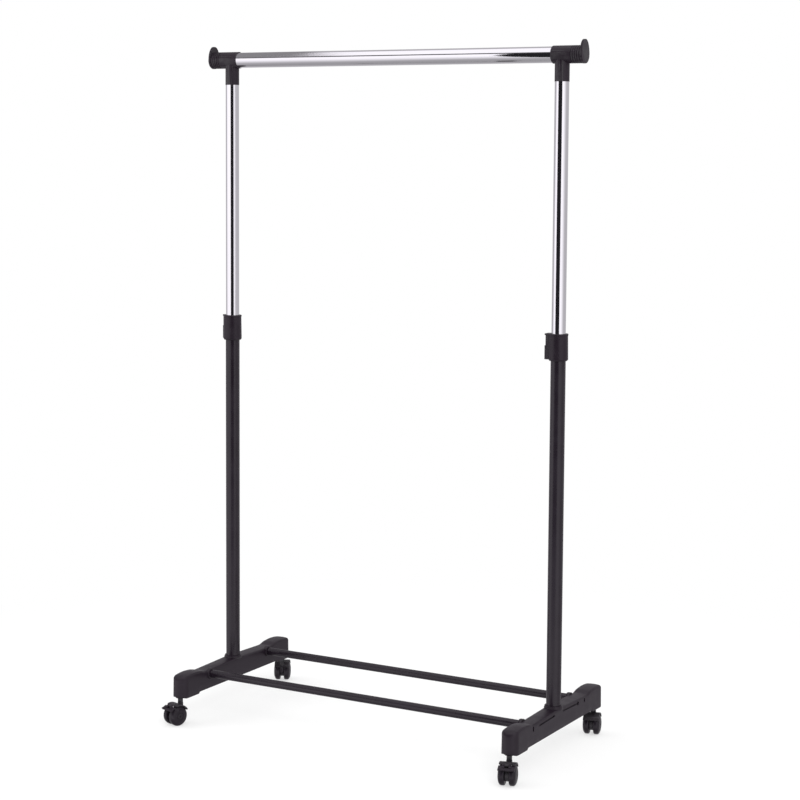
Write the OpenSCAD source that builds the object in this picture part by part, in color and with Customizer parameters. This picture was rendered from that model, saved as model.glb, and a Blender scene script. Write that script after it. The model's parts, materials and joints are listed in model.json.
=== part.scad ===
// Rolling clothes rack: two telescopic posts on moulded feet, a hanging bar, two lower rods and four casters.
// Millimetres. X runs along the hanging bar, +Y is the rear, +Z is up.
// The origin is on the floor, midway between the posts.

/* [Overall] */
// Distance between the posts' axes
post_spacing = 742; // [560:5:1000]
// Chrome post showing between the collar and the corner connector
shown_length = 472; // [395:1:600]

/* [Lower posts] */
// Length of each lower post
lower_length = 745; // [600:1:900]
// Outside diameter of the lower posts
lower_od = 28.6; // [26:0.1:36]
// Wall of the lower posts
lower_wall = 0.6; // [0.4:0.1:0.8]

/* [Upper posts] */
// Length of each upper post
upper_length = 730; // [640:1:760]
// Outside diameter of the upper posts
upper_od = 27; // [22:0.1:27.2]
// Wall of the upper posts
upper_wall = 0.8; // [0.5:0.1:1.5]
// Diameter of the height adjusting holes
adjust_hole_d = 6.6; // [6.2:0.1:8]
// Pitch of the height adjusting holes
adjust_pitch = 50; // [25:1:60]
// Steps that the rack goes up from here
steps_up = 3; // [1:1:3]
// Steps that the rack goes down from here
steps_down = 9; // [3:1:9]

/* [Hanging bar] */
// Outside diameter of the hanging bar
bar_od = 30.6; // [25:0.1:34]
// Wall of the hanging bar
bar_wall = 1; // [0.8:0.1:2]

/* [Corner connectors] */
// Bar's axis above the connector's lower end
connector_drop = 50; // [38:1:60]
// Sleeve wall round the bar
sleeve_wall = 1.5; // [1.2:0.1:3]
// Sleeve reach from the post's axis towards the middle of the rack
sleeve_inboard = 17.7; // [15:0.1:30]
// Depth of the bar's seat beyond the post's axis
bar_overhang = 40; // [25:1:60]
// Solid end between the bar and the end plate
sleeve_end = 3; // [2:0.5:8]
// Thickness of the end plate that keeps hangers on
plate_thickness = 4.4; // [3:0.1:8]
// Height of the end plate above the bar's axis
plate_rise = 28; // [22:1:45]
// Outside diameter of the connector's stem
stem_od = 28; // [27.4:0.1:34]
// Length of the plug inside the upper post
plug_length = 40; // [20:1:80]
// Number of grooves round the sleeve
sleeve_grooves = 5; // [0:1:8]
// Pitch of the sleeve's grooves
groove_pitch = 4.4; // [3:0.1:5]

/* [Height lock] */
// Height of each collar
collar_height = 51; // [48:1:60]
// Collar wall round the lower post
collar_wall = 3.7; // [2.4:0.1:6]
// Lip of the collar that closes on the upper post
collar_lip = 4; // [3:0.5:8]
// Half-width of the lock housing
housing_half_width = 9; // [8.6:0.1:12]
// Direction in which the right lock housing faces
right_lock_angle = 180; // [150:1:210]
// Direction in which the left lock housing faces
left_lock_angle = 154; // [140:1:210]
// Diameter of the locking peg
peg_d = 6; // [4:0.1:6]
// Gap between the peg's tip and the upper post
peg_tip_gap = 0.3; // [0.2:0.1:0.6]
// Diameter of the button's hinge pin
hinge_pin_d = 2.4; // [2:0.1:3]

/* [Feet] */
// Length of each foot
foot_length = 400; // [340:5:600]
// Width of each foot
foot_width = 34.6; // [34:0.1:50]
// Wall of each foot
foot_wall = 3; // [2:0.1:4]
// Height of a foot's raised ends
foot_end_height = 46; // [44:0.5:60]
// Height of a foot's top beside the post, above its lower edge at the ends
foot_post_height = 43.5; // [42:0.5:60]
// Height of a foot's top at its low points, above its lower edge at the ends
foot_waist_height = 40.5; // [40:0.5:44]
// Rise of a foot's lower edge between its ends
foot_arch = 3.5; // [1:0.5:6]
// Height of the ring round the post on top of a foot
post_ring_height = 4; // [2:0.5:10]

/* [Lower rods] */
// Outside diameter of the lower rods
rod_od = 16; // [12:0.5:19]
// Wall of the lower rods
rod_wall = 1; // [0.8:0.1:2]
// Distance of each rod from the posts' plane
rod_offset = 106; // [60:1:120]
// Height of the rods' axes above the feet's lower edge
rod_rise = 33; // [30:0.5:36]
// Depth of a rod's end in a foot
rod_seat = 15; // [12:0.5:20]

/* [Casters] */
// Wheel diameter
wheel_d = 40; // [36:1:60]
// Width of one wheel
wheel_width = 13.4; // [11:0.1:18]
// Gap between a caster's two wheels
wheel_gap = 8.3; // [7:0.1:12]
// Horizontal distance from a caster's stem to its axle
caster_trail = 13; // [8:0.5:18]
// Stem showing between a caster's hood and the foot
stem_gap = 10.2; // [6:0.1:20]
// Length of the stem's shank in the foot
shank_length = 31; // [20:1:34]
// Direction in which the front left caster trails
front_left_trail = 252; // [180:1:360]
// Direction in which the front right caster trails
front_right_trail = 286; // [180:1:360]
// Direction in which the rear left caster trails
rear_left_trail = 117; // [0:1:360]
// Direction in which the rear right caster trails
rear_right_trail = 285; // [0:1:360]
// Lift of a brake pedal in its free position
pedal_lift = 12; // [6:1:14]

/* [Hidden] */
SIDES = ["left", "right"];
ENDS = ["front", "rear"];
$fn = 64;

BLACK = "#2b292d";
COATED = "#242226";
CHROME = "#d9dbdf";
STEEL = "#a6a8ab";
NATURAL = "#c9c8c2";

// Clearances
running = 0.05;
gap = 0.3;
beyond = 1;

// Casters, from the floor up
wheel_r = wheel_d / 2;
fender_gap = 0.8;
fender_wall = 2.5;
fender_r = wheel_r + fender_gap + fender_wall;
fender_width = 2 * wheel_width + wheel_gap - 3.5;
hood_top = wheel_r + fender_r;
web_thickness = wheel_gap - 1;
web_r = wheel_r - 7.5;
axle_r = 2;
axle_reach = wheel_gap / 2 + 9;
shank_r = 4;
flange_r = 5.2;
spigot_r = 2.5;
spigot_length = 16;
socket_r = 5.5;
hood_boss_r = 5.6;
pedal_r = wheel_r + 0.5;
pedal_thickness = 2.4;
pedal_width = fender_width;
pedal_lug_r = 2.6;
pedal_pin_r = 1.5;
pedal_hinge_r = wheel_r + 3.6;
pedal_hinge_angle = 62;
pedal_tip_angle = 32;
pedal_tip_lip = 1.4;
pedal_lug_width = 5;
pedal_slot_z = pedal_r * sin(50);
braked_fender_angle = 71;
free_fender_angle = 32;
fender_back_angle = 150;

// Feet
foot_z = hood_top + stem_gap;
foot_mid_z = foot_z + foot_arch;
foot_r = foot_width / 2;
stem_y = foot_length / 2 - 12;
hump_y = foot_length / 2 - 71;
step_y = foot_length / 2 - 55;
foot_top_round = 18;
post_ring_r = lower_od / 2 + 3;
rod_axis_z = foot_z + rod_rise;
rod_r = rod_od / 2;
rod_end_x = post_spacing / 2 - foot_r + rod_seat;
rod_rim_r = rod_r + 3;
rod_rim_reach = 3;
rod_boss_half = rod_r + 4;
rod_screw_x = post_spacing / 2 - foot_r + rod_seat / 2;
rod_screw_r = 1.75;
rod_boss_z = rod_axis_z - rod_r - 4;

// Lower posts
lower_r = lower_od / 2;
lower_bore_r = lower_r - lower_wall;
seat_floor = 4;
seat_z = foot_mid_z + 10;
lower_top = seat_z + lower_length;
bolt_r = 3;
bolt_length = 22;
plug_height = 25;
washer_r = 9;
washer_thickness = 1.5;
bolt_head_height = 4;

// Height lock
collar_top = lower_top + collar_lip;
collar_z = collar_top - collar_height;
collar_r = lower_r + collar_wall;
hinge_z = collar_top - 25;
peg_z = collar_top - 38;
cavity_x = lower_r + 2.1;
hinge_x = cavity_x + 3.1;
housing_x = hinge_x + 5.2;
recess_x = housing_x - 1.9;
cavity_half = housing_half_width - 1.8;
button_half = cavity_half - 0.7;
button_face_x = hinge_x + 3.2;
pin_r = hinge_pin_d / 2;
barrel_r = 2.4;
peg_r = peg_d / 2;

// Upper posts, connectors and bar
upper_r = upper_od / 2;
upper_bore_r = upper_r - upper_wall;
upper_top = collar_top + shown_length;
upper_z = upper_top - upper_length;
bar_z = upper_top + connector_drop;
bar_r = bar_od / 2;
bar_end = post_spacing / 2 + bar_overhang;
sleeve_r = bar_r + sleeve_wall;
groove_width = 1.6;
groove_depth = 0.7;
tee_screw_r = 1.75;
tee_screw_z = upper_top - 14;
bar_screw_inset = 8;
screw_head_r = 3.4;
screw_head_height = 2.2;

function sign_of(i) = i == 0 ? -1 : 1;
function lock_angle(side) = side < 0 ? left_lock_angle : right_lock_angle;
function trail_angle(side, end) =
    side < 0 ? (end < 0 ? front_left_trail : rear_left_trail)
             : (end < 0 ? front_right_trail : rear_right_trail);
// Points of an elliptic arc about c, with half-axes a and b
function arc(c, a, b, from, to, steps = 8) =
    [for (i = [0:steps]) let (t = from + (to - from) * i / steps) c + [a * cos(t), b * sin(t)]];
function mirrored(points) = [for (i = [len(points) - 1:-1:0]) [-points[i][0], points[i][1]]];

// Placing
module at_post(side) {
    translate([side * post_spacing / 2, 0, 0]) children();
}

module at_lock(side) {
    at_post(side) rotate([0, 0, lock_angle(side)]) children();
}

module at_stem(side, end) {
    translate([side * post_spacing / 2, end * stem_y, 0]) children();
}

module at_caster(side, end) {
    at_stem(side, end) rotate([0, 0, trail_angle(side, end)]) children();
}

module at_axle(side, end) {
    at_caster(side, end) translate([caster_trail, 0, wheel_r]) children();
}

// Shapes
module rod_z(r, z0, z1) {
    translate([0, 0, z0]) cylinder(r = r, h = z1 - z0);
}

module tube_z(r, wall, z0, z1) {
    difference() {
        rod_z(r, z0, z1);
        rod_z(r - wall, z0 - beyond, z1 + beyond);
    }
}

module rod_x(r, x0, x1) {
    translate([x0, 0, 0]) rotate([0, 90, 0]) cylinder(r = r, h = x1 - x0);
}

module rod_y(r, y0, y1) {
    translate([0, y0, 0]) rotate([-90, 0, 0]) cylinder(r = r, h = y1 - y0);
}

module block(x, y, z) {
    translate([x[0], y[0], z[0]]) cube([x[1] - x[0], y[1] - y[0], z[1] - z[0]]);
}

// A flat shape in the XZ plane, of the given width about Y = 0
module slab_y(width) {
    translate([0, width / 2, 0]) rotate([90, 0, 0]) linear_extrude(width) children();
}

// A flat shape in the YZ plane, from x0 to x1
module slab_x(x0, x1) {
    translate([x0, 0, 0]) rotate([90, 0, 90]) linear_extrude(x1 - x0) children();
}

module sector(r0, r1, from, to) {
    intersection() {
        difference() {
            circle(r1);
            circle(r0);
        }
        polygon(concat([[0, 0]], arc([0, 0], 2 * r1, 2 * r1, from, to, 4)));
    }
}

// Feet
module foot_plan(inset) {
    straight = foot_length / 2 - foot_r;
    r = foot_r - inset;
    square([2 * r, 2 * straight], center = true);
    for (end = [-1, 1]) translate([0, end * straight]) circle(r);
}

module foot_side(drop, reach) {
    half = foot_length / 2;
    end_top = foot_z + foot_end_height - drop;
    waist_top = foot_z + foot_waist_height - drop;
    post_top = foot_z + foot_post_height - drop;
    top_half = concat(
        [[post_ring_r, post_top], [hump_y - 18, waist_top], [hump_y - 8, waist_top]],
        [[hump_y + 1, waist_top + 1.5], [hump_y + 9, end_top - 1]],
        arc([half - foot_top_round, end_top - 4], foot_top_round, 4, 90, 0)
    );
    under_half = [[half, foot_z - reach], [step_y + 3, foot_z - reach], [step_y, foot_mid_z - reach]];
    right_half = concat(top_half, under_half);
    polygon(concat(right_half, mirrored(right_half)));
}

module foot_blank() {
    intersection() {
        linear_extrude(foot_z + foot_end_height + beyond) foot_plan(0);
        slab_x(-foot_r, foot_r) foot_side(0, 0);
    }
}

module foot_hollow() {
    difference() {
        intersection() {
            linear_extrude(foot_z + foot_end_height) foot_plan(foot_wall);
            slab_x(-foot_r, foot_r) foot_side(foot_wall, foot_z / 2);
        }
        block([-foot_r, foot_r], [-lower_r - 4, lower_r + 4], [0, foot_z + foot_end_height]);
        for (end = [-1, 1]) {
            translate([0, end * stem_y, 0]) rod_z(socket_r + 4, 0, foot_z + foot_end_height);
            translate([0, end * rod_offset, 0])
                block([-foot_r, foot_r], [-rod_boss_half, rod_boss_half], [rod_boss_z, foot_z + foot_end_height]);
        }
    }
}

module foot(side) {
    color(BLACK) at_post(side) mirror([side > 0 ? 1 : 0, 0, 0]) difference() {
        union() {
            foot_blank();
            rod_z(post_ring_r, foot_z + foot_post_height - beyond, foot_z + foot_post_height + post_ring_height);
            for (end = [-1, 1])
                translate([0, end * rod_offset, rod_axis_z])
                    rod_x(rod_rim_r, foot_r - beyond, foot_r + rod_rim_reach);
        }
        foot_hollow();
        rod_z(lower_r, seat_z, foot_z + foot_end_height + beyond + post_ring_height);
        rod_z(bolt_r + gap, seat_z - seat_floor - beyond, seat_z + beyond);
        rod_z(washer_r + 1, 0, seat_z - seat_floor);
        for (end = [-1, 1]) {
            translate([0, end * stem_y, 0]) rod_z(socket_r, 0, foot_z + shank_length + 1.5);
            translate([0, end * rod_offset, rod_axis_z])
                rod_x(rod_r, foot_r - rod_seat, foot_r + rod_rim_reach + beyond);
            translate([foot_r - rod_seat / 2, end * rod_offset, 0])
                rod_z(rod_screw_r, rod_boss_z - beyond, rod_axis_z);
        }
    }
}

module caster_sockets() {
    color(NATURAL) for (side = [-1, 1], end = [-1, 1]) at_stem(side, end) difference() {
        rod_z(socket_r, foot_z, foot_z + shank_length + 1.5);
        rod_z(shank_r + running, foot_z - beyond, foot_z + shank_length + 0.5);
    }
}

// Lower posts and what holds them
module lower_post(side) {
    color(COATED) at_post(side) difference() {
        tube_z(lower_r, lower_wall, seat_z, lower_top);
        rotate([0, 0, lock_angle(side)]) translate([0, 0, peg_z]) rod_x(peg_r + 1.5, 0, lower_r + beyond);
    }
}

module post_plugs() {
    color(STEEL) for (side = [-1, 1]) at_post(side)
        tube_z(lower_bore_r, lower_bore_r - bolt_r, seat_z, seat_z + plug_height);
}

module post_bolts() {
    head_z = seat_z - seat_floor - washer_thickness;
    color(STEEL) for (side = [-1, 1]) at_post(side) {
        rod_z(bolt_r, head_z - beyond, head_z + bolt_length);
        translate([0, 0, head_z - bolt_head_height]) cylinder(r = 5.77, h = bolt_head_height, $fn = 6);
    }
}

module post_washers() {
    washer_z = seat_z - seat_floor - washer_thickness;
    color(STEEL) for (side = [-1, 1]) at_post(side)
        tube_z(washer_r, washer_r - bolt_r, washer_z, washer_z + washer_thickness);
}

// Lower rods
module lower_rod(end) {
    color(COATED) translate([0, end * rod_offset, 0]) difference() {
        translate([0, 0, rod_axis_z]) difference() {
            rod_x(rod_r, -rod_end_x, rod_end_x);
            rod_x(rod_r - rod_wall, -rod_end_x - beyond, rod_end_x + beyond);
        }
        for (side = [-1, 1]) translate([side * rod_screw_x, 0, 0]) rod_z(rod_screw_r, rod_boss_z, rod_axis_z);
    }
}

module rod_screws() {
    color(STEEL) for (side = [-1, 1], end = [-1, 1])
        translate([side * rod_screw_x, end * rod_offset, rod_boss_z]) {
            rod_z(rod_screw_r, 0, rod_axis_z - rod_r + rod_wall + 2 - rod_boss_z);
            rod_z(screw_head_r, -screw_head_height, 0);
        }
}

// Height lock
module collar_outline() {
    lip = 0.6;
    polygon([
        [0, collar_z], [collar_r - 1, collar_z], [collar_r + 0.7, collar_z + 2.6],
        [collar_r, collar_top - 6], [collar_r, collar_top - 3.4], [collar_r + lip, collar_top - 3],
        [collar_r + lip, collar_top - 0.5], [collar_r + lip - 0.5, collar_top], [0, collar_top]
    ]);
}

module lock_housing() {
    w = [-housing_half_width, housing_half_width];
    block([0, housing_x], w, [collar_z + 2, hinge_z + barrel_r]);
    block([0, recess_x], w, [hinge_z, collar_top - 1]);
    block([0, housing_x], w, [collar_top - 3, collar_top]);
}

module collar(side) {
    cavity = [-cavity_half, cavity_half];
    color(BLACK) at_lock(side) difference() {
        union() {
            rotate_extrude() collar_outline();
            lock_housing();
        }
        rod_z(lower_r, collar_z - beyond, lower_top);
        rod_z(upper_r + running, lower_top - beyond, collar_top + beyond);
        block([cavity_x, housing_x - 1.5], cavity, [collar_z + 5, collar_top - 4]);
        block([cavity_x, housing_x + beyond], cavity, [hinge_z + 1, collar_top - 4]);
        translate([0, 0, peg_z]) rod_x(peg_r + 1.7, 0, cavity_x + beyond);
        translate([hinge_x, 0, hinge_z]) rod_y(pin_r, -housing_half_width - beyond, housing_half_width + beyond);
    }
}

module button(side) {
    arm_half = 4.5;
    arm_x = [cavity_x + 0.8, hinge_x + 0.5];
    pad_x = [hinge_x + 0.5, button_face_x];
    coil_half = 3;
    color(BLACK) at_lock(side) difference() {
        union() {
            block(pad_x, [-button_half, button_half], [hinge_z + 1.8, collar_top - 5]);
            block([hinge_x - 1, button_face_x], [-button_half, button_half], [hinge_z, hinge_z + 3.6]);
            block(arm_x, [-arm_half, arm_half], [peg_z - 6, hinge_z]);
            translate([hinge_x, 0, hinge_z]) rod_y(barrel_r, -button_half, button_half);
        }
        translate([hinge_x, 0, hinge_z]) rod_y(pin_r + running, -button_half - beyond, button_half + beyond);
        block([cavity_x, hinge_x + 2.5], [-coil_half, coil_half], [hinge_z - 2.8, hinge_z + 2.8]);
        translate([0, 0, peg_z]) rod_x(peg_r, cavity_x, housing_x);
    }
}

module lock_peg(side) {
    tip = upper_r + peg_tip_gap;
    color(STEEL) at_lock(side) translate([0, 0, peg_z]) {
        rod_x(peg_r, tip + 0.8, hinge_x + 0.5);
        translate([tip, 0, 0]) rotate([0, 90, 0]) cylinder(r1 = peg_r - 0.8, r2 = peg_r, h = 0.8);
    }
}

module button_pins() {
    color(STEEL) for (side = [-1, 1]) at_lock(side) translate([hinge_x, 0, hinge_z])
        rod_y(pin_r, -housing_half_width, housing_half_width);
}

module button_springs() {
    wire_r = 0.4;
    turns = 6;
    color(STEEL) for (side = [-1, 1]) at_lock(side) translate([hinge_x, 0, hinge_z]) rotate([90, 0, 0])
        for (i = [0:turns - 1]) translate([0, 0, (i - (turns - 1) / 2) * 1.8 * wire_r])
            rotate_extrude() translate([pin_r + wire_r, 0]) circle(wire_r, $fn = 16);
}

// Upper posts, glides, connectors and bar
module upper_post(side) {
    color(CHROME) at_post(side) difference() {
        tube_z(upper_r, upper_wall, upper_z, upper_top);
        rotate([0, 0, lock_angle(side)]) for (i = [-steps_up:steps_down])
            translate([0, 0, peg_z + i * adjust_pitch]) rod_x(adjust_hole_d / 2, 0, upper_r + beyond);
        translate([0, 0, tee_screw_z]) rod_y(tee_screw_r, 0, upper_r + beyond);
    }
}

module post_glides() {
    glide_r = lower_bore_r - running;
    color(NATURAL) for (side = [-1, 1]) at_post(side) difference() {
        union() {
            rod_z(upper_bore_r, upper_z - 1, upper_z + 18);
            rod_z(glide_r, upper_z - 3, upper_z);
        }
        rod_z(upper_bore_r - 3, upper_z - 4, upper_z + 15);
    }
}

module end_plate_shape() {
    plate_r = sleeve_r + 0.4;
    polygon(concat(arc([0, 0], plate_r, plate_r, 180, 348, 24), arc([0, 0], plate_r, plate_rise, 0, 168, 28)));
}

module tee_sleeve() {
    plate_x = bar_overhang + sleeve_end;
    difference() {
        rod_x(sleeve_r, -sleeve_inboard, plate_x);
        for (i = [0:1:sleeve_grooves - 1]) translate([plate_x - (i + 0.6) * groove_pitch, 0, 0]) difference() {
            rod_x(sleeve_r + beyond, 0, groove_width);
            rod_x(sleeve_r - groove_depth, -beyond, groove_width + beyond);
        }
    }
    slab_x(plate_x, plate_x + plate_thickness) end_plate_shape();
}

module tee(side) {
    color(BLACK) at_post(side) translate([0, 0, bar_z]) mirror([side < 0 ? 1 : 0, 0, 0]) difference() {
        union() {
            tee_sleeve();
            rod_z(stem_od / 2, -connector_drop, 0);
            rod_z(upper_bore_r, -connector_drop - plug_length, -connector_drop);
        }
        rod_x(bar_r, -sleeve_inboard - beyond, bar_overhang);
        rod_z(upper_bore_r - 3, -connector_drop - plug_length - beyond, -connector_drop + 6);
        translate([0, 0, tee_screw_z - bar_z]) rod_y(tee_screw_r, 0, upper_r);
        translate([bar_overhang - bar_screw_inset, 0, 0]) rod_y(tee_screw_r, 0, sleeve_r + beyond);
    }
}

module tee_screws() {
    color(STEEL) for (side = [-1, 1]) at_post(side) {
        translate([0, 0, tee_screw_z]) {
            rod_y(tee_screw_r, upper_bore_r - 3, upper_r + 1);
            rod_y(screw_head_r, upper_r, upper_r + screw_head_height);
        }
        translate([side * (bar_overhang - bar_screw_inset), 0, bar_z]) {
            rod_y(tee_screw_r, bar_r - bar_wall - 3, sleeve_r + 1);
            rod_y(screw_head_r, sleeve_r, sleeve_r + screw_head_height);
        }
    }
}

module hanging_bar() {
    color(CHROME) translate([0, 0, bar_z]) difference() {
        rod_x(bar_r, -bar_end, bar_end);
        rod_x(bar_r - bar_wall, -bar_end - beyond, bar_end + beyond);
        for (side = [-1, 1]) translate([side * (bar_end - bar_screw_inset), 0, 0])
            rod_y(tee_screw_r, 0, bar_r + beyond);
    }
}

// Casters
module caster_stem(side, end) {
    color(STEEL) at_caster(side, end) {
        rod_z(spigot_r, hood_top - spigot_length, hood_top + beyond);
        rod_z(flange_r, hood_top, foot_z - gap);
        rod_z(shank_r, foot_z - gap - beyond, foot_z + shank_length - 1);
    }
}

module hood_web(fender_from) {
    circle(web_r);
    sector(web_r - 1, wheel_r - 1, 45, fender_back_angle);
    sector(wheel_r - 2, fender_r - 1, fender_from, fender_back_angle);
}

// The web's arm that carries a brake pedal
module pedal_arm() {
    sector(web_r - 1, pedal_hinge_r, pedal_hinge_angle - 5, pedal_hinge_angle + 5);
}

module caster_hood(side, end) {
    braked = end < 0;
    fender_from = braked ? braked_fender_angle : free_fender_angle;
    color(BLACK) at_axle(side, end) difference() {
        union() {
            slab_y(web_thickness) hood_web(fender_from);
            slab_y(fender_width) sector(wheel_r + fender_gap, fender_r, fender_from, fender_back_angle);
            intersection() {
                translate([-caster_trail, 0, 0]) rod_z(hood_boss_r, 0, fender_r);
                union() {
                    rod_z(fender_r * 2, wheel_r - 8, fender_r);
                    slab_y(web_thickness) square(4 * wheel_r, center = true);
                }
            }
            if (braked) {
                slab_y(web_thickness) pedal_arm();
                at_pedal_hinge() rod_y(pedal_lug_r, -web_thickness / 2, web_thickness / 2);
            }
        }
        for (half = [-1, 1]) translate([0, half * (web_thickness + wheel_width) / 2, 0])
            rod_y(wheel_r + fender_gap, -wheel_width / 2, wheel_width / 2);
        rod_y(axle_r, -wheel_gap, wheel_gap);
        translate([-caster_trail, 0, 0]) rod_z(spigot_r, fender_r - spigot_length, fender_r + beyond);
        if (braked) at_pedal_hinge() rod_y(pedal_pin_r + running, -wheel_gap, wheel_gap);
    }
}

module axle(side, end) {
    color(STEEL) at_axle(side, end) rod_y(axle_r, -axle_reach, axle_reach);
}

module wheel_outline() {
    crest = wheel_width;
    rim = wheel_width - 2.6;
    bore_r = axle_r + running;
    bore_depth = axle_reach - wheel_gap / 2 + 0.5;
    polygon(concat(
        [[bore_r, 0], [wheel_r - 1, 0], [wheel_r, 1]],
        arc([10, rim], wheel_r - 10, crest - rim, 0, 90, 10),
        [[6.4, crest], [6, crest - 0.6], [0, crest - 0.6], [0, bore_depth], [bore_r, bore_depth]]
    ));
}

module wheel(side, end, half) {
    color(BLACK) at_axle(side, end) rotate([-90 * half, 0, 0]) translate([0, 0, wheel_gap / 2])
        rotate_extrude($fn = 96) wheel_outline();
}

module at_pedal_hinge() {
    rotate([0, -pedal_hinge_angle, 0]) translate([pedal_hinge_r, 0, 0]) children();
}

// Turns a brake pedal, drawn pressed down, up to its free position
module pedal_free() {
    hinge = pedal_hinge_r * [cos(pedal_hinge_angle), 0, sin(pedal_hinge_angle)];
    translate(hinge) rotate([0, -pedal_lift, 0]) translate(-hinge) children();
}

module brake_pedal(side) {
    lug_inner = web_thickness / 2 + gap;
    lug_outer = lug_inner + pedal_lug_width;
    outer = pedal_r + pedal_thickness;
    color(BLACK) at_axle(side, -1) pedal_free() difference() {
        union() {
            slab_y(pedal_width) union() {
                sector(pedal_r, outer, pedal_tip_angle, pedal_hinge_angle - 3);
                sector(pedal_r, outer + pedal_tip_lip, pedal_tip_angle - 2, pedal_tip_angle + 6);
            }
            slab_y(2 * lug_outer) sector(pedal_r + 1, outer + 1, pedal_hinge_angle - 18, pedal_hinge_angle);
            at_pedal_hinge() rod_y(pedal_lug_r, gap - lug_outer, lug_outer - gap);
        }
        block([-wheel_r, 2 * wheel_r], [-lug_inner, lug_inner], [pedal_slot_z, 2 * wheel_r]);
        at_pedal_hinge() rod_y(pedal_pin_r, -wheel_r, wheel_r);
    }
}

module pedal_pin(side) {
    reach = web_thickness / 2 + gap + pedal_lug_width;
    color(STEEL) at_axle(side, -1) pedal_free() at_pedal_hinge() rod_y(pedal_pin_r, -reach, reach);
}

for (i = [0, 1]) {
    side = sign_of(i);
    name = str(SIDES[i], "_");
    foot(side);
    lower_post(side);
    collar(side);
    button(side);
    lock_peg(side);
    upper_post(side);
    tee(side);
    brake_pedal(side);
    pedal_pin(side);
    for (j = [0, 1]) {
        end = sign_of(j);
        corner = str(ENDS[j], "_", name);
        caster_stem(side, end);
        caster_hood(side, end);
        axle(side, end);
        wheel(side, end, -1);
        wheel(side, end, 1);
    }
}
caster_sockets();
post_plugs();
post_bolts();
post_washers();
lower_rod(-1);  // front_rod
lower_rod(1);  // rear_rod
rod_screws();
button_pins();
button_springs();
post_glides();
hanging_bar();
tee_screws();
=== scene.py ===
import json
import math

import bmesh
import bpy
from mathutils import Matrix, Vector


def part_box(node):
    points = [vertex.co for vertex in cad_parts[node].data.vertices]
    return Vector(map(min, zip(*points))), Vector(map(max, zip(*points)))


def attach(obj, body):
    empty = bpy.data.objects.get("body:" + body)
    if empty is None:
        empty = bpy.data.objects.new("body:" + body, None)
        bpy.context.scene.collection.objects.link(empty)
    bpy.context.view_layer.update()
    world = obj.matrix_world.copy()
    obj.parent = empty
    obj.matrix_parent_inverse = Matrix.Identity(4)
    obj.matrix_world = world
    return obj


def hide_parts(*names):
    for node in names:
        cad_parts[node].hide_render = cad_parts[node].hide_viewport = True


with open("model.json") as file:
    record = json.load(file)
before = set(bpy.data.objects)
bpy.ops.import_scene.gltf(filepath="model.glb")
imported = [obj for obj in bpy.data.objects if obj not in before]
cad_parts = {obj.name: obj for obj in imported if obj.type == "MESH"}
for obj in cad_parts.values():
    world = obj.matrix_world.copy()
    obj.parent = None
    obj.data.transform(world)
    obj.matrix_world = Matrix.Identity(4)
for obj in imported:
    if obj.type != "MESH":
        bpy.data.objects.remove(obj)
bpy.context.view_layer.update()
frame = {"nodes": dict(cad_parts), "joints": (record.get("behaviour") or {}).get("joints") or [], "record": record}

MM = 0.001
SIDES = {"left": -1, "right": 1}
CORNERS = [(end, side) for end in ("front", "rear") for side in SIDES]


def add_object(name, data):
    obj = bpy.data.objects.new(name, data)
    bpy.context.scene.collection.objects.link(obj)
    return obj


# ---------------------------------------------------------------- camera

def make_camera():
    """Stands in front of the rack and to its right, at about the height of a person's chest."""
    yaw, pitch, roll = math.radians(29.602), math.radians(5.284), math.radians(0.367)
    level = math.cos(pitch)
    ahead = Vector((-math.sin(yaw) * level, math.cos(yaw) * level, -math.sin(pitch)))
    level_right = Vector((math.cos(yaw), math.sin(yaw), 0))
    level_up = level_right.cross(ahead)
    right = level_right * math.cos(roll) + level_up * math.sin(roll)
    up = level_up * math.cos(roll) - level_right * math.sin(roll)
    data = bpy.data.cameras.new("camera")
    data.sensor_width = 36
    data.lens = 90.0
    data.shift_y = -0.09
    camera = add_object("camera", data)
    turn = Matrix((right, up, -ahead)).transposed().to_4x4()
    camera.matrix_world = Matrix.Translation((1.965, -3.411, 1.172)) @ turn
    bpy.context.scene.camera = camera


# ---------------------------------------------------------------- shader nodes

class Graph:
    """Short calls for adding and joining shader nodes."""

    def __init__(self, tree):
        self.tree = tree
        self.tree.nodes.clear()

    def add(self, kind, inputs=None, **settings):
        node = self.tree.nodes.new(kind)
        for key, value in settings.items():
            setattr(node, key, value)
        for key, value in (inputs or {}).items():
            if isinstance(value, bpy.types.NodeSocket):
                self.tree.links.new(value, node.inputs[key])
            else:
                node.inputs[key].default_value = value
        return node

    def math(self, operation, a, b=0.0):
        return self.add("ShaderNodeMath", {0: a, 1: b}, operation=operation).outputs[0]

    def step(self, value, start, end, low=0.0, high=1.0):
        """Goes smoothly from low to high as value goes from start to end."""
        inputs = {"Value": value, "From Min": start, "From Max": end, "To Min": low, "To Max": high}
        return self.add("ShaderNodeMapRange", inputs, interpolation_type="SMOOTHSTEP").outputs[0]

    def band(self, value, low, high, soft):
        """1 between low and high, 0 outside, over a soft edge."""
        above = self.step(value, low - soft, low)
        below = self.step(value, high, high + soft, 1.0, 0.0)
        return self.math("MULTIPLY", above, below)

    def blend(self, factor, a, b):
        """a where factor is 0 and b where it is 1, for numbers."""
        return self.add("ShaderNodeMix", {0: factor, 2: a, 3: b}, data_type="FLOAT").outputs[0]

    def mix_colors(self, factor, a, b):
        return self.add("ShaderNodeMix", {0: factor, 6: a, 7: b}, data_type="RGBA").outputs[2]

    def mix_shaders(self, factor, a, b):
        return self.add("ShaderNodeMixShader", {0: factor, 1: a, 2: b}).outputs[0]

    def emission(self, color, strength):
        return self.add("ShaderNodeEmission", {"Color": color, "Strength": strength}).outputs[0]

    def object_place(self):
        return self.add("ShaderNodeTexCoord").outputs["Object"]


def new_material(name):
    material = bpy.data.materials.new(name)
    material.use_nodes = True
    return material, Graph(material.node_tree)


# ---------------------------------------------------------------- studio

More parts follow.
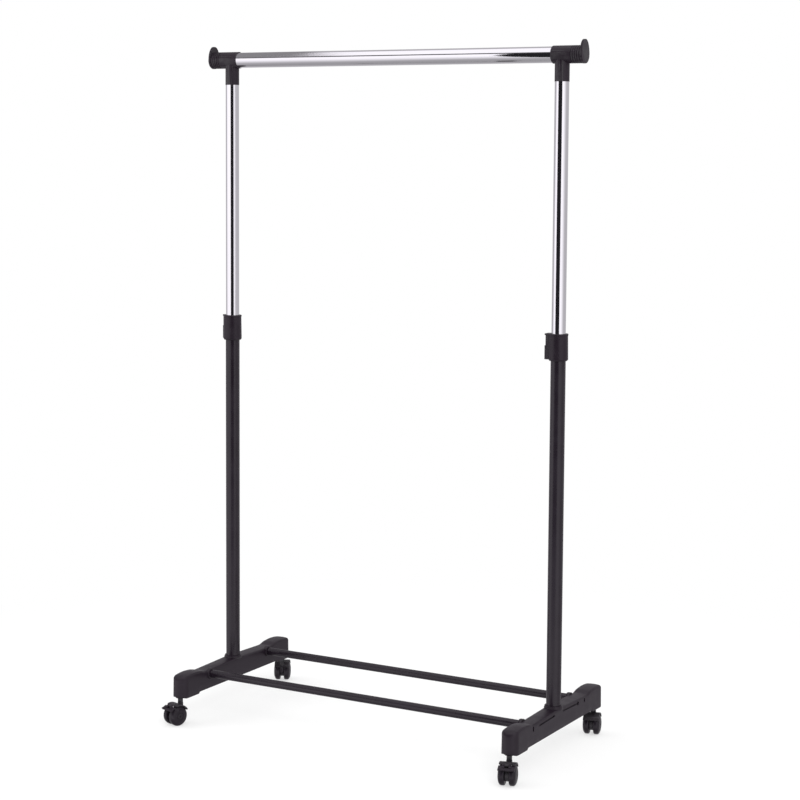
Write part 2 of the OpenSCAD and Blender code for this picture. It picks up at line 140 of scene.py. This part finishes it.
WHITE = (1, 1, 1, 1)
BRIGHT = 1.28


def studio_light(g):
    """Brightness of the studio that the polished tubes reflect, by direction in degrees."""
    direction = g.add("ShaderNodeTexCoord").outputs["Generated"]
    x, y, z = g.add("ShaderNodeSeparateXYZ", {0: direction}).outputs
    azimuth = g.math("DEGREES", g.math("ARCTAN2", x, g.math("MULTIPLY", y, -1.0)))
    elevation = g.math("DEGREES", g.math("ARCSINE", z))
    # Bright front walls that fall to grey on the right and on the left
    right = g.step(azimuth, 48.0, 112.0, BRIGHT, 0.56)
    left = g.step(azimuth, -84.0, -58.0, 0.54, BRIGHT)
    light = g.math("MINIMUM", right, left)
    # The floor is grey, and the ceiling is bright and reaches lower at the back
    light = g.math("MINIMUM", light, g.step(elevation, -56.0, 2.0, 0.42, BRIGHT))
    ceiling = g.math("SUBTRACT", elevation, g.step(y, 0.0, 0.3, 0.0, 30.0))
    light = g.blend(g.step(ceiling, 26.0, 34.0), light, 1.25)
    # A dark joint between wall and ceiling, and a grey ceiling panel to the left
    joint = g.math("MULTIPLY", g.band(elevation, 20.0, 31.0, 1.5), g.band(azimuth, -80.0, 0.0, 4.0))
    light = g.blend(joint, light, 0.10)
    panel = g.math("MULTIPLY", g.step(x, -0.525, -0.535), g.step(elevation, 26.0, 30.0))
    return g.blend(panel, light, 0.29), elevation


def make_world():
    """Polished surfaces reflect the studio, other surfaces get a soft light, and the backdrop is white."""
    world = bpy.data.worlds.new("studio")
    world.use_nodes = True
    bpy.context.scene.world = world
    g = Graph(world.node_tree)
    light, elevation = studio_light(g)

    def background(color, strength):
        return g.add("ShaderNodeBackground", {"Color": color, "Strength": strength}).outputs[0]

    reflected = background((0.985, 0.955, 1.0, 1), light)
    ambient = background(WHITE, g.step(elevation, -40.0, 70.0, 0.55, 1.1))
    path = g.add("ShaderNodeLightPath").outputs
    lit = g.mix_shaders(path["Is Glossy Ray"], ambient, reflected)
    seen = g.mix_shaders(path["Is Camera Ray"], lit, background(WHITE, 1.0))
    g.add("ShaderNodeOutputWorld", {"Surface": seen})


def make_flag():
    """A black card in front of the rack, lit near the floor. It shows only in reflections, as the
    dark line in each tube."""
    left, right, height = -0.32, 0.98, 1.82
    distance, slant = -1.08, 0.12
    lit_height = 0.64
    data = bpy.data.meshes.new("flag")
    corners = ((left, 0.0), (right, 0.0), (right, height), (left, height))
    data.from_pydata([(x, distance + slant * x, z) for x, z in corners], [], [(0, 1, 2, 3)])
    flag = add_object("flag", data)
    flag.visible_camera = flag.visible_diffuse = flag.visible_shadow = False
    material, g = new_material("black_card")
    z = g.add("ShaderNodeSeparateXYZ", {0: g.object_place()}).outputs[2]
    card = g.emission((0.9, 0.85, 1.0, 1), g.step(z, 0.0, lit_height, 0.55, 0.02))
    g.add("ShaderNodeOutputMaterial", {"Surface": card})
    data.materials.append(material)


def make_area_light(name, at, aim, size, power):
    data = bpy.data.lights.new(name, "AREA")
    data.shape = "DISK"
    data.size = size
    data.energy = power
    lamp = add_object(name, data)
    lamp.location = at
    lamp.rotation_euler = (Vector(aim) - Vector(at)).to_track_quat("-Z", "Y").to_euler()
    lamp.visible_glossy = False


def make_floor():
    """A pale floor that brightens to white away from the rack, so that it has no horizon."""
    bpy.ops.mesh.primitive_plane_add(size=16)
    floor = bpy.context.object
    floor.name = "floor"
    floor.visible_glossy = False
    material, g = new_material("pale_floor")
    distance = g.add("ShaderNodeVectorMath", {0: g.object_place()}, operation="LENGTH").outputs["Value"]
    matt = g.add("ShaderNodeBsdfDiffuse", {"Color": (0.93, 0.93, 0.93, 1)}).outputs[0]
    glow = g.step(distance, 0.3, 1.4, 0.55, 1.0)
    surface = g.mix_shaders(glow, matt, g.emission(WHITE, 1.0))
    g.add("ShaderNodeOutputMaterial", {"Surface": surface})
    floor.data.materials.append(material)


# ---------------------------------------------------------------- materials

def noise(g, place, scale, detail=2.0, stretch=(1, 1, 1)):
    """Noise whose cells are about 1 / scale metres across."""
    mapped = g.add("ShaderNodeMapping", {"Vector": place, "Scale": stretch}).outputs[0]
    inputs = {"Vector": mapped, "Scale": scale, "Detail": detail}
    return g.add("ShaderNodeTexNoise", inputs).outputs[0]


def bump(g, height, distance, strength=1.0):
    inputs = {"Height": height, "Distance": distance, "Strength": strength}
    return g.add("ShaderNodeBump", inputs).outputs[0]


def edges(g, low=0.52, high=0.60):
    """1 along convex edges, where handling rubs."""
    return g.step(g.add("ShaderNodeNewGeometry").outputs["Pointiness"], low, high)


def chrome(g, place, stretch):
    smear = noise(g, place, 14.0, 3.0, stretch)
    fine = noise(g, place, 900.0, 2.0, stretch)
    clear, hazy = (0.80, 0.80, 0.82, 1), (0.76, 0.755, 0.78, 1)
    polish = g.step(smear, 0.45, 0.8, 0.035, 0.075)
    return {
        "Base Color": g.mix_colors(g.step(smear, 0.35, 0.75), clear, hazy),
        "Metallic": 1.0,
        "Roughness": g.math("ADD", polish, g.step(fine, 0.6, 0.8, 0.0, 0.03)),
        "Normal": bump(g, fine, 0.000004),
    }


def powder_coat(g, place):
    peel = noise(g, place, 700.0, 2.0)
    cloud = noise(g, place, 25.0, 3.0)
    dark, light = (0.0090, 0.0055, 0.0098, 1), (0.0130, 0.0088, 0.0142, 1)
    return {
        "Base Color": g.mix_colors(g.step(cloud, 0.3, 0.7), dark, light),
        "Roughness": g.step(cloud, 0.3, 0.7, 0.24, 0.32),
        "IOR": 1.45,
        "Normal": bump(g, peel, 0.00003, 0.8),
    }


def moulded_plastic(g, place):
    coarse = g.math("MULTIPLY", noise(g, place, 800.0, 2.0), 0.5)
    grain = g.math("ADD", noise(g, place, 2600.0, 1.0), coarse)
    cloud = noise(g, place, 40.0, 3.0)
    rubbed = g.math("MULTIPLY", edges(g), g.step(cloud, 0.35, 0.6, 0.25, 1.0))
    dark, light, pale = (0.0105, 0.0060, 0.0112, 1), (0.0150, 0.0100, 0.0160, 1), (0.033, 0.030, 0.034, 1)
    base = g.mix_colors(g.step(cloud, 0.3, 0.7), dark, light)
    return {
        "Base Color": g.mix_colors(rubbed, base, pale),
        "Roughness": g.step(cloud, 0.3, 0.7, 0.38, 0.48),
        "IOR": 1.38,
        "Normal": bump(g, grain, 0.00004, 0.7),
    }


def wheel_plastic(g, place):
    grain = noise(g, place, 1800.0, 2.0)
    scuff = g.step(noise(g, place, 170.0, 4.0), 0.56, 0.72)
    rubbed = g.math("MULTIPLY", edges(g), 0.6)
    dark, scuffed, pale = (0.0090, 0.0060, 0.0100, 1), (0.0220, 0.0180, 0.0240, 1), (0.032, 0.030, 0.033, 1)
    return {
        "Base Color": g.mix_colors(rubbed, g.mix_colors(scuff, dark, scuffed), pale),
        "Roughness": g.math("ADD", g.math("MULTIPLY", scuff, 0.2), 0.33),
        "IOR": 1.38,
        "Normal": bump(g, grain, 0.00003, 0.6),
    }


def natural_plastic(g, place):
    cloud = noise(g, place, 60.0, 2.0)
    return {
        "Base Color": g.mix_colors(cloud, (0.50, 0.49, 0.45, 1), (0.60, 0.59, 0.55, 1)),
        "Roughness": g.step(cloud, 0.3, 0.7, 0.4, 0.5),
        "Normal": bump(g, noise(g, place, 1500.0), 0.00002, 0.5),
    }


def zinc_steel(g, place):
    spangle = noise(g, place, 350.0, 2.0)
    lines = noise(g, place, 600.0, 2.0, (1, 1, 12))
    dark, light = (0.50, 0.50, 0.50, 1), (0.60, 0.60, 0.61, 1)
    return {
        "Base Color": g.mix_colors(g.step(spangle, 0.35, 0.65), dark, light),
        "Metallic": 1.0,
        "Roughness": g.step(lines, 0.3, 0.7, 0.24, 0.38),
        "Normal": bump(g, lines, 0.00001, 0.6),
    }


def black_steel(g, place):
    lines = noise(g, place, 500.0, 2.0, (1, 1, 10))
    dark, light = (0.010, 0.010, 0.012, 1), (0.018, 0.018, 0.021, 1)
    return {
        "Base Color": g.mix_colors(g.step(lines, 0.3, 0.7), dark, light),
        "Roughness": g.step(lines, 0.3, 0.7, 0.22, 0.34),
        "IOR": 1.5,
        "Normal": bump(g, lines, 0.00001, 0.6),
    }


def make_material(name, build):
    material, g = new_material(name)
    shader = g.add("ShaderNodeBsdfPrincipled", build(g, g.object_place()))
    g.add("ShaderNodeOutputMaterial", {"Surface": shader.outputs[0]})
    return material


def make_materials():
    """The record's slots, and chrome with its marks running along X for the bar."""
    along_z, along_x = (6, 6, 0.25), (0.25, 6, 6)
    return {
        "chrome": make_material("chrome_plate", lambda g, place: chrome(g, place, along_z)),
        "bar_chrome": make_material("bar_chrome_plate", lambda g, place: chrome(g, place, along_x)),
        "powder_coat": make_material("black_powder_coat", powder_coat),
        "black_plastic": make_material("black_moulded_plastic", moulded_plastic),
        "wheel_plastic": make_material("black_wheel_nylon", wheel_plastic),
        "natural_plastic": make_material("natural_nylon", natural_plastic),
        "zinc_steel": make_material("zinc_plated_steel", zinc_steel),
        "black_steel": make_material("black_zinc_steel", black_steel),
    }


# ---------------------------------------------------------------- the frame's own nodes

# Greatest width of the rounded edge in mm, by the end of the node's name. A mesh with very short
# edges, such as a caster hood's, leaves room for little or none.
EDGE_WIDTHS = {
    "tee": 1.1, "collar": 0.8, "button": 0.6, "caster_hood": 0.6, "brake_pedal": 0.5,
    "lower_post": 0.15, "upper_post": 0.15, "hanging_bar": 0.2, "post_bolts": 0.3,
    "tee_screws": 0.4, "rod_screws": 0.4, "lock_peg": 0.3, "caster_stem": 0.3,
}


def paint(obj, material):
    obj.data.materials.clear()
    obj.data.materials.append(material)


def shade(obj, angle=30.0):
    for polygon in obj.data.polygons:
        polygon.use_smooth = True
    obj.data.set_sharp_from_angle(angle=math.radians(angle))


def soften(obj, width, segments=3):
    """Rounds a CAD node's edges as far as its mesh allows, and smooths its shading, with modifiers."""
    weld = obj.modifiers.new("weld", "WELD")
    weld.merge_threshold = 0.000005
    flat = obj.modifiers.new("flat_faces", "DECIMATE")
    flat.decimate_type = "DISSOLVE"
    flat.angle_limit = math.radians(0.4)
    bevel = obj.modifiers.new("edges", "BEVEL")
    bevel.width = width
    bevel.segments = segments
    bevel.limit_method = "ANGLE"
    bevel.angle_limit = math.radians(32)
    bevel.harden_normals = True
    normals = obj.modifiers.new("normals", "WEIGHTED_NORMAL")
    normals.keep_sharp = True


def finish_cad_nodes(materials):
    for part in frame["record"]["subparts"]:
        name = part["node"]
        obj = frame["nodes"][name]
        material = "bar_chrome" if name == "hanging_bar" else part["material_slot"]
        paint(obj, materials[material])
        shade(obj)
        width = next((w for key, w in EDGE_WIDTHS.items() if name.endswith(key)), None)
        if width:
            soften(obj, width * MM)


# ---------------------------------------------------------------- mesh building

def add_piece(name, data, material, body, node):
    """A new piece that stands for a CAD node and rides on its body."""
    obj = add_object(name, data)
    paint(obj, material)
    shade(obj, 40.0)
    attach(obj, body)
    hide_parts(node)


def merge_doubles(bm):
    bmesh.ops.remove_doubles(bm, verts=bm.verts, dist=0.00001)
    bmesh.ops.dissolve_degenerate(bm, edges=bm.edges, dist=0.00001)


def to_mesh(name, bm):
    bmesh.ops.recalc_face_normals(bm, faces=bm.faces)
    data = bpy.data.meshes.new(name)
    bm.to_mesh(data)
    bm.free()
    return data


def facing(place, direction):
    """A matrix whose origin is at place, in metres, and whose Z axis points along direction."""
    turn = Vector(direction).to_track_quat("Z", "Y").to_matrix().to_4x4()
    return Matrix.Translation(place) @ turn


def add_lathe(bm, profile, matrix, segments=64):
    """Turns a closed profile of (radius, height) points in mm about the matrix's Z axis."""
    rings = []
    for i in range(segments):
        t = 2 * math.pi * i / segments
        around = (MM * math.cos(t), MM * math.sin(t))
        rings.append([bm.verts.new(matrix @ Vector((r * around[0], r * around[1], z * MM)))
                      for r, z in profile])
    count = len(profile)
    for i in range(segments):
        a, b = rings[i], rings[(i + 1) % segments]
        for k in range(count):
            n = (k + 1) % count
            if profile[k][0] > 0 or profile[n][0] > 0:
                bm.faces.new((a[k], b[k], b[n], a[n]))


def quarter(centre, a, b, start, steps=6):
    """Points of a quarter ellipse with half-axes a and b, anticlockwise from start degrees."""
    points = []
    for i in range(steps + 1):
        t = math.radians(start + 90 * i / steps)
        points.append((centre[0] + a * math.cos(t), centre[1] + b * math.sin(t)))
    return points


def smooth_step(x, start, end):
    t = min(1.0, max(0.0, (x - start) / (end - start)))
    return t * t * (3 - 2 * t)


def apply_modifiers(obj):
    graph = bpy.context.evaluated_depsgraph_get()
    data = bpy.data.meshes.new_from_object(obj.evaluated_get(graph))
    obj.modifiers.clear()
    obj.data = data


# ---------------------------------------------------------------- wheels

WHEEL_R, BORE_R = 20.0, 2.05
FACE_CORNER, DOME = 2.8, 11.5

# (radius, distance from the inner face) in mm
WHEEL_PROFILE = (
    # Flat inner face, its rounded corner and the tread, then the domed outer face
    [(BORE_R, 0), (WHEEL_R - FACE_CORNER, 0)]
    + quarter((WHEEL_R - FACE_CORNER, 2.6), FACE_CORNER, 2.6, -90)
    + quarter((WHEEL_R - DOME, 6.9), DOME, 6.4, 0, 14)
    # A groove round the hub cap, then the cap and the dimple at its centre
    + [(7.6, 13.35), (7.3, 12.7), (6.6, 12.7), (6.3, 13.3)]
    + [(3.0, 13.4), (2.6, 13.1), (2.4, 12.4), (0, 12.3)]
    # The blind bore on the axle
    + [(0, 9.5), (BORE_R, 9.5)]
)


def make_wheels(materials):
    joints = {joint["name"]: joint for joint in frame["joints"]}
    for end, side in CORNERS:
        for letter, way in (("a", -1), ("b", 1)):
            name = f"{end}_{side}_wheel_{letter}"
            joint = joints[name + "_roll"]
            outward = Vector(joint["axis"]) * way
            centre = Vector(joint["pos_m"])
            vertices = frame["nodes"][name].data.vertices
            inner = min(outward.dot(Vector(vertex.co) - centre) for vertex in vertices)
            bm = bmesh.new()
            add_lathe(bm, WHEEL_PROFILE, facing(centre + outward * inner, outward), 96)
            merge_doubles(bm)
            material = materials["wheel_plastic"]
            add_piece(name + "_moulding", to_mesh(name, bm), material, name, name)


# ---------------------------------------------------------------- feet

class Foot:
    """A hollow moulded foot, round-ended in plan, with raised ends and a crowned top. Sizes are in
    mm, except post_x, which is in metres."""

    wall = 3.0
    edge = 5.0                              # radius of the top edge
    draft = 0.5                             # how far the sides lean in from rim to top edge
    crown = 0.8
    height = 43.5                           # at the post
    fall, fall_end = 3.0, 89                # the top falls from the post to fall_end before the end
    rises = ((4.2, 81, 60), (1.6, 66, 40))  # (height, from, to), measured from the end
    roll_drop, roll_length = 8.0, 42        # how the top rolls down at the end
    arch, arch_start, arch_end = 3.5, 56.5, 53.5  # the rim is higher between the casters
    lift, lift_length = 2.5, 12             # the rim lifts a little at the end
    straight_steps, round_steps = 104, 24
    clearance = 0.02                        # round the post and the rods

    # Cuts in the outer face: places along Y, and heights measured from the top edge
    grooves = ((-97, -30), (8, 80))
    groove_half_height, groove_depth, groove_drop = 2.0, 2.5, -6.6
    notches = ((-122, 4.6), (76, 3.8), (107, 3.6))  # (place, half height)
    notch_half_width, notch_depth, notch_drop = 2.6, 2.8, -7.4

    def __init__(self, name):
        low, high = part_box(name)
        self.side = SIDES[name.split("_")[0]]
        self.half = (high.y - low.y) / 2 / MM
        post_low, post_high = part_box(name.replace("foot", "lower_post"))
        self.post_x = (post_low.x + post_high.x) / 2
        self.radius = abs((low.x if self.side < 0 else high.x) - self.post_x) / MM
        self.base = low.z / MM
        self.post_r = (post_high.x - post_low.x) / 2 / MM
        rod_low, rod_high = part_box("front_rod")
        self.rod_y = abs(rod_low.y + rod_high.y) / 2 / MM
        self.rod_z = (rod_low.z + rod_high.z) / 2 / MM
        self.rod_r = (rod_high.z - rod_low.z) / 2 / MM

    def top(self, y):
        u = abs(y)
        height = self.height - self.fall * min(1.0, u / (self.half - self.fall_end))
        for rise, start, end in self.rises:
            height += rise * smooth_step(u, self.half - start, self.half - end)
        roll = max(0.0, (u - (self.half - self.roll_length)) / self.roll_length)
        height -= self.roll_drop * (1 - math.sqrt(max(0.0, 1 - roll * roll)))
        return self.base + height

    def bottom(self, y):
        u = abs(y)
        arch = self.arch * (1 - smooth_step(u, self.half - self.arch_start, self.half - self.arch_end))
        lift = self.lift * smooth_step(u, self.half - self.lift_length, self.half)
        return self.base + arch + lift

    def outline(self):
        """(x, y, outward x, outward y) round the plan."""
        straight = self.half - self.radius
        points = []
        for way in (1, -1):
            for i in range(self.straight_steps):
                y = way * straight * (2 * i / self.straight_steps - 1)
                points.append((way * self.radius, y, way, 0))
            for i in range(self.round_steps):
                t = math.pi * i / self.round_steps
                out_x, out_y = way * math.cos(t), way * math.sin(t)
                points.append((self.radius * out_x, way * straight + self.radius * out_y, out_x, out_y))
        return points

    def section(self):
        """Samples (inset, share, rise) from the rim's inner edge round the outside to the middle of
        the top, and back inside. The share is 0 at the rim and 1 at the top edge."""
        wall, draft = self.wall, self.draft
        outer = [(wall, 0, 0.3), (wall - 0.3, 0, 0.0), (0.7, 0, 0.0), (0.2, 0, 0.2), (0.0, 0, 0.7)]
        outer += [(draft * share, share, 0) for share in (0.4, 0.8)]
        for i in range(8):
            t = math.radians(90 * i / 7)
            outer.append((draft + self.edge * (1 - math.cos(t)), 1, -self.edge * (1 - math.sin(t))))
        start = draft + self.edge
        for i in range(1, 6):
            t = i / 5
            outer.append((start + t * (self.radius - start), 1, self.crown * (1 - (1 - t) ** 2)))
        inner = [(self.radius, 1, -wall), (wall + 2.5, 1, -wall), (wall + 0.4, 1, -wall - 2)]
        return outer, inner

    def point(self, at, sample):
        x, y, out_x, out_y = at
        inset, share, rise = sample
        px, py = x - out_x * inset, y - out_y * inset
        low, high = self.bottom(py), self.top(py)
        if share == 0:
            z = low + rise
        elif share == 1:
            z = high + rise
        else:
            z = low + (high - self.edge - low) * share
        return Vector((self.post_x + px * MM, py * MM, z * MM))

    def add_shell(self, bm):
        outer, inner = self.section()
        rings = [[bm.verts.new(self.point(at, s)) for s in outer + inner] for at in self.outline()]
        count = len(outer)
        total = count + len(inner)
        for i, ring in enumerate(rings):
            after = rings[(i + 1) % len(rings)]
            for k in list(range(count - 1)) + list(range(count, total - 1)):
                bm.faces.new((ring[k], after[k], after[k + 1], ring[k + 1]))
            bm.faces.new((ring[total - 1], after[total - 1], after[0], ring[0]))

    def cutter(self, start, end, half_height, depth, drop):
        """A slanted bar in the outer face, which follows the foot's top edge."""
        face = self.post_x + self.side * self.radius * MM
        outside = 2.0
        bm = bmesh.new()
        corners = []
        for x in (face - self.side * depth * MM, face + self.side * outside * MM):
            for y in (start, end):
                for z in (-half_height, half_height):
                    corners.append(bm.verts.new((x, y * MM, (self.top(y) + drop + z) * MM)))
        sides = ((0, 1, 3, 2), (4, 6, 7, 5), (0, 4, 5, 1), (2, 3, 7, 6), (0, 2, 6, 4), (1, 5, 7, 3))
        for loop in sides:
            bm.faces.new([corners[i] for i in loop])
        return add_object("cutter", to_mesh("cutter", bm))

    def cutters(self):
        tools = []
        for start, end in self.grooves:
            size = (self.groove_half_height, self.groove_depth, self.groove_drop)
            tools.append(self.cutter(start, end, *size))
        for at, half_height in self.notches:
            ends = (at - self.notch_half_width, at + self.notch_half_width)
            tools.append(self.cutter(*ends, half_height, self.notch_depth, self.notch_drop))
        return tools

    def add_post_ring(self, bm):
        top, r = self.top(0), self.post_r
        bore, sunk, lip = r + self.clearance, top - 3, 1.1
        ring = [(bore, sunk), (r + 4.2, sunk), (r + 4.0, top + 0.6), (r + 3.2, top + 1.4)]
        ring += quarter((r + 2.0, top + 3.2), lip, lip, 0) + [(r + 0.4, top + 4.3), (bore, top + 3.9)]
        add_lathe(bm, ring, Matrix.Translation((self.post_x, 0, 0)), 72)

    def add_rod_rims(self, bm):
        r = self.rod_r
        bore, sunk, lip = r + self.clearance, -4, 1.1
        rim = [(bore, sunk), (r + 3.4, sunk), (r + 3.2, 1.2)] + quarter((r + 1.9, 2.2), lip, lip, 0)
        rim += [(r + 0.4, 3.3), (bore, 2.9)]
        face_x = self.post_x - self.side * (self.radius - self.draft) * MM
        for end in (-1, 1):
            place = (face_x, end * self.rod_y * MM, self.rod_z * MM)
            add_lathe(bm, rim, facing(place, (-self.side, 0, 0)), 48)

    def add_caster_bosses(self, bm):
        bore_r, boss_r, boss_height, from_end = 5.55, 9.5, 36, 12
        low = self.base
        boss = [(bore_r, low + 0.3), (5.9, low), (9.2, low), (boss_r, low + 0.4)]
        boss += [(boss_r, low + boss_height), (bore_r, low + boss_height)]
        for end in (-1, 1):
            place = Matrix.Translation((self.post_x, end * (self.half - from_end) * MM, 0))
            add_lathe(bm, boss, place)

    def add_bolt_boss(self, bm):
        """Holds the post's bolt under the foot, with a recess for its head."""
        bolt_r, recess_r, boss_r = 3.4, 10, 14.3
        recess_height, boss_height = 6, 30
        low = self.base + self.arch
        boss = [(bolt_r, low + recess_height), (recess_r, low + recess_height), (recess_r, low + 0.4)]
        boss += [(10.4, low), (14.0, low), (boss_r, low + 0.4)]
        boss += [(boss_r, low + boss_height), (bolt_r, low + boss_height)]
        add_lathe(bm, boss, Matrix.Translation((self.post_x, 0, 0)))


def cut_shell(foot):
    """The foot's shell with the grooves and notches cut into its outer face."""
    bm = bmesh.new()
    foot.add_shell(bm)
    merge_doubles(bm)
    blank = add_object("blank", to_mesh("blank", bm))
    tools = foot.cutters()
    for tool in tools:
        cut = blank.modifiers.new("cut", "BOOLEAN")
        cut.object = tool
        cut.solver = "EXACT"
    apply_modifiers(blank)
    bm = bmesh.new()
    bm.from_mesh(blank.data)
    for obj in tools + [blank]:
        bpy.data.objects.remove(obj)
    return bm


def make_feet(materials):
    for side in SIDES:
        name = side + "_foot"
        foot = Foot(name)
        bm = cut_shell(foot)
        foot.add_post_ring(bm)
        foot.add_rod_rims(bm)
        foot.add_caster_bosses(bm)
        foot.add_bolt_boss(bm)
        material = materials["black_plastic"]
        add_piece(name + "_moulding", to_mesh(name, bm), material, "base", name)


make_camera()
make_world()
make_flag()
make_floor()
make_area_light("key", (2.2, -2.6, 3.0), (0, 0, 0.6), 2.4, 60)
make_area_light("fill", (-2.8, -1.6, 1.8), (0, 0, 0.5), 2.0, 30)
MATERIALS = make_materials()
finish_cad_nodes(MATERIALS)
make_wheels(MATERIALS)
make_feet(MATERIALS)

scene = bpy.context.scene
scene.view_settings.view_transform = "Standard"
scene.view_settings.look = "None"

bpy.context.view_layer.update()
